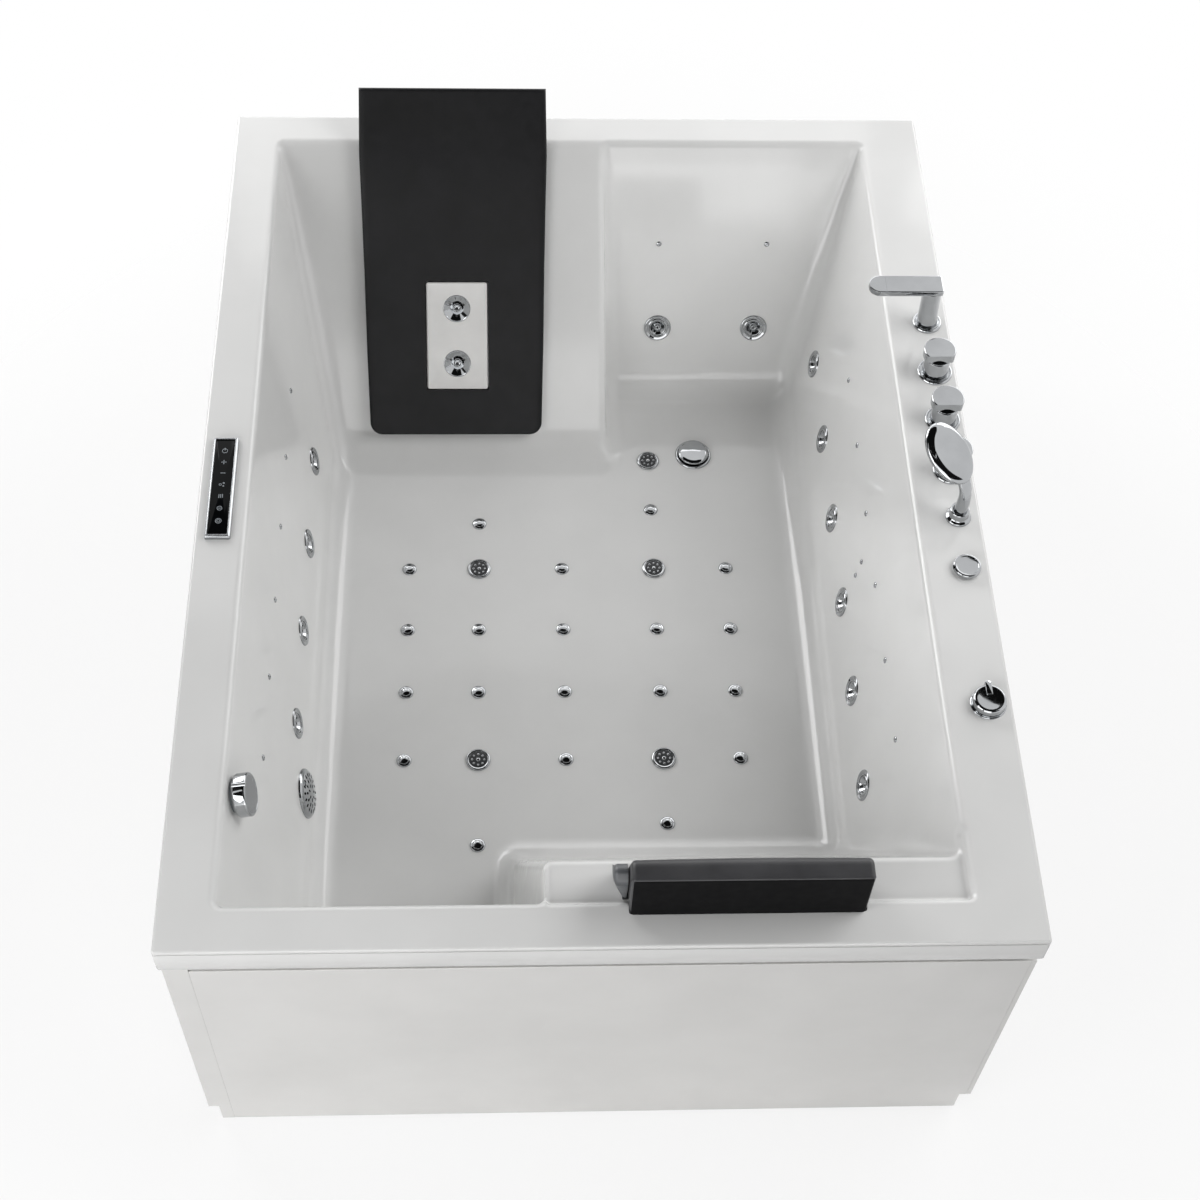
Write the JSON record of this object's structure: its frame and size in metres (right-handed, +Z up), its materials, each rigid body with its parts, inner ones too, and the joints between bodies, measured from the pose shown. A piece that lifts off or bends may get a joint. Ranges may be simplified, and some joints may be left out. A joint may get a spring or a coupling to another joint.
{
  "type": "jetted bathtub",
  "caption": "Rectangular jetted bath with a lounge, a footwell, wall and floor jets, a backrest pad, a pillow, deck taps, a steel frame, a pump and aprons.",
  "frame": {"origin": "middle of the footprint on the floor under the feet", "axes": "+Z up, +Y to the lounge end, +X to the side with the taps; the skirted front faces -Y"},
  "size_m": [1.35, 1.8, 0.8533],
  "materials": {
    "acrylic": "high gloss cast acrylic, white",
    "apron": "gloss white acrylic panel",
    "steel_frame": "grey primer on square steel tube",
    "zinc_steel": "bright zinc plate",
    "chrome": "polished chrome plate",
    "black_glass": "black glass touch panel",
    "soft_black": "satin moulded foam skin, black",
    "dark_plastic": "moulded plastic, black",
    "white_plastic": "moulded plastic, white",
    "motor_paint": "dark enamel on an aluminium motor shell",
    "white_pipe": "white pressure pipe",
    "clear_hose": "milky air hose",
    "grey_pipe": "grey waste pipe"
  },
  "bodies": {
    "tub": {"air_nozzles": "chrome", "air_pipes": "clear_hose", "backrest_pad": "soft_black", "blower": "dark_plastic", "control_box": "white_plastic", "control_panel_bezel": "chrome", "control_panel_glass": "black_glass", "corner_post": "apron", "deck_fitting_bases": "chrome", "drain_flange": "chrome", "equipment_trays": "zinc_steel", "floor_air_pipes": "white_pipe", "floor_bubble_jets": "chrome", "floor_massage_plates": "chrome", "foot_locknuts": "zinc_steel", "frame_base": "steel_frame", "frame_uprights": "steel_frame", "front_apron": "apron", "inlet_pipes": "zinc_steel", "jet_bodies": "white_pipe", "jet_flanges": "chrome", "left_apron": "apron", "level_sensors": "chrome", "levelling_feet": "zinc_steel", "overflow_pipe": "grey_pipe", "pad_jet_plate": "white_plastic", "pillow_bracket": "dark_plastic", "pump_casing": "dark_plastic", "pump_motor": "motor_paint", "right_apron": "apron", "spout": "chrome", "suction_grille": "chrome", "suction_pipe": "white_pipe", "tub_shell": "acrylic", "waste_pipe": "grey_pipe", "water_pipes": "white_pipe"},
    "jet_insert_left_1": {"jet_insert_left_1": "chrome"},
    "jet_insert_left_2": {"jet_insert_left_2": "chrome"},
    "jet_insert_left_3": {"jet_insert_left_3": "chrome"},
    "jet_insert_left_4": {"jet_insert_left_4": "chrome"},
    "jet_insert_right_1": {"jet_insert_right_1": "chrome"},
    "jet_insert_right_2": {"jet_insert_right_2": "chrome"},
    "jet_insert_right_3": {"jet_insert_right_3": "chrome"},
    "jet_insert_right_4": {"jet_insert_right_4": "chrome"},
    "jet_insert_right_5": {"jet_insert_right_5": "chrome"},
    "jet_insert_right_6": {"jet_insert_right_6": "chrome"},
    "jet_insert_footwell_1": {"jet_insert_footwell_1": "chrome"},
    "jet_insert_footwell_2": {"jet_insert_footwell_2": "chrome"},
    "jet_insert_pad_1": {"jet_insert_pad_1": "chrome"},
    "jet_insert_pad_2": {"jet_insert_pad_2": "chrome"},
    "hot_knob": {"hot_knob": "chrome"},
    "cold_knob": {"cold_knob": "chrome"},
    "diverter_knob": {"diverter_knob": "chrome"},
    "air_dial": {"air_dial": "chrome"},
    "jet_selector_knob": {"jet_selector_knob": "chrome"},
    "overflow_knob": {"overflow_knob": "chrome"},
    "drain_plug": {"drain_plug": "chrome"},
    "hand_shower": {"hand_shower": "chrome"},
    "pillow": {"pillow": "soft_black"},
    "pump_impeller": {"pump_impeller": "white_plastic"}
  },
  "joints": [
    {"name": "jet_left_1_turn", "type": "hinge", "parent": "tub", "child": "jet_insert_left_1", "pos_m": [-0.51992, 0.285, 0.375], "axis": [0.9781, 0, 0.2079], "continuous": true},
    {"name": "jet_left_2_turn", "type": "hinge", "parent": "tub", "child": "jet_insert_left_2", "pos_m": [-0.51992, 0.087, 0.375], "axis": [0.9781, 0, 0.2079], "continuous": true},
    {"name": "jet_left_3_turn", "type": "hinge", "parent": "tub", "child": "jet_insert_left_3", "pos_m": [-0.51992, -0.111, 0.375], "axis": [0.9781, 0, 0.2079], "continuous": true},
    {"name": "jet_left_4_turn", "type": "hinge", "parent": "tub", "child": "jet_insert_left_4", "pos_m": [-0.51992, -0.309, 0.375], "axis": [0.9781, 0, 0.2079], "continuous": true},
    {"name": "jet_right_1_turn", "type": "hinge", "parent": "tub", "child": "jet_insert_right_1", "pos_m": [0.47997, 0.535, 0.375], "axis": [-0.9703, 0, 0.2419], "continuous": true},
    {"name": "jet_right_2_turn", "type": "hinge", "parent": "tub", "child": "jet_insert_right_2", "pos_m": [0.47997, 0.339, 0.375], "axis": [-0.9703, 0, 0.2419], "continuous": true},
    {"name": "jet_right_3_turn", "type": "hinge", "parent": "tub", "child": "jet_insert_right_3", "pos_m": [0.47997, 0.143, 0.375], "axis": [-0.9703, 0, 0.2419], "continuous": true},
    {"name": "jet_right_4_turn", "type": "hinge", "parent": "tub", "child": "jet_insert_right_4", "pos_m": [0.47997, -0.053, 0.375], "axis": [-0.9703, 0, 0.2419], "continuous": true},
    {"name": "jet_right_5_turn", "type": "hinge", "parent": "tub", "child": "jet_insert_right_5", "pos_m": [0.47997, -0.249, 0.375], "axis": [-0.9703, 0, 0.2419], "continuous": true},
    {"name": "jet_right_6_turn", "type": "hinge", "parent": "tub", "child": "jet_insert_right_6", "pos_m": [0.47997, -0.445, 0.375], "axis": [-0.9703, 0, 0.2419], "continuous": true},
    {"name": "jet_footwell_1_turn", "type": "hinge", "parent": "tub", "child": "jet_insert_footwell_1", "pos_m": [0.168, 0.65993, 0.346], "axis": [0, -0.9063, 0.4226], "continuous": true},
    {"name": "jet_footwell_2_turn", "type": "hinge", "parent": "tub", "child": "jet_insert_footwell_2", "pos_m": [0.368, 0.65993, 0.346], "axis": [0, -0.9063, 0.4226], "continuous": true},
    {"name": "jet_pad_1_turn", "type": "hinge", "parent": "tub", "child": "jet_insert_pad_1", "pos_m": [-0.244, 0.61575, 0.455], "axis": [0, -0.7604, 0.6494], "continuous": true},
    {"name": "jet_pad_2_turn", "type": "hinge", "parent": "tub", "child": "jet_insert_pad_2", "pos_m": [-0.244, 0.54401, 0.371], "axis": [0, -0.7604, 0.6494], "continuous": true},
    {"name": "hot_turn", "type": "hinge", "parent": "tub", "child": "hot_knob", "pos_m": [0.635, 0.232, 0.7], "axis": [0, 0, 1], "range_deg": [0, 90]},
    {"name": "cold_turn", "type": "hinge", "parent": "tub", "child": "cold_knob", "pos_m": [0.635, 0.119, 0.7], "axis": [0, 0, 1], "range_deg": [-90, 0]},
    {"name": "diverter_turn", "type": "hinge", "parent": "tub", "child": "diverter_knob", "pos_m": [0.635, 0.005, 0.7], "axis": [0, 0, 1], "range_deg": [-45, 45]},
    {"name": "air_dial_turn", "type": "hinge", "parent": "tub", "child": "air_dial", "pos_m": [0.635, -0.209, 0.7], "axis": [0, 0, 1], "range_deg": [0, 270]},
    {"name": "jet_selector_turn", "type": "hinge", "parent": "tub", "child": "jet_selector_knob", "pos_m": [0.635, -0.478, 0.7], "axis": [0, 0, 1], "range_deg": [-90, 90]},
    {"name": "overflow_turn", "type": "hinge", "parent": "tub", "child": "overflow_knob", "pos_m": [-0.57837, -0.608, 0.65], "axis": [0.9781, 0, 0.2079], "range_deg": [0, 90]},
    {"name": "plug_lift", "type": "slide", "parent": "tub", "child": "drain_plug", "axis": [0, 0, 1], "range_m": [-0.006, 0]},
    {"name": "hand_shower_lift", "type": "slide", "parent": "tub", "child": "hand_shower", "axis": [0, 0, 1], "range_m": [0, 0.15]},
    {"name": "pillow_lift", "type": "slide", "parent": "tub", "child": "pillow", "axis": [0, 0, 1], "range_m": [0, 0.06]},
    {"name": "impeller_spin", "type": "hinge", "parent": "tub", "child": "pump_impeller", "pos_m": [-0.45, 0.7, 0.303], "axis": [1, 0, 0], "continuous": true}
  ],
  "couplings": [
    {"joint": "plug_lift", "follows": "overflow_turn", "m_per_rad": -0.0038197}
  ]
}
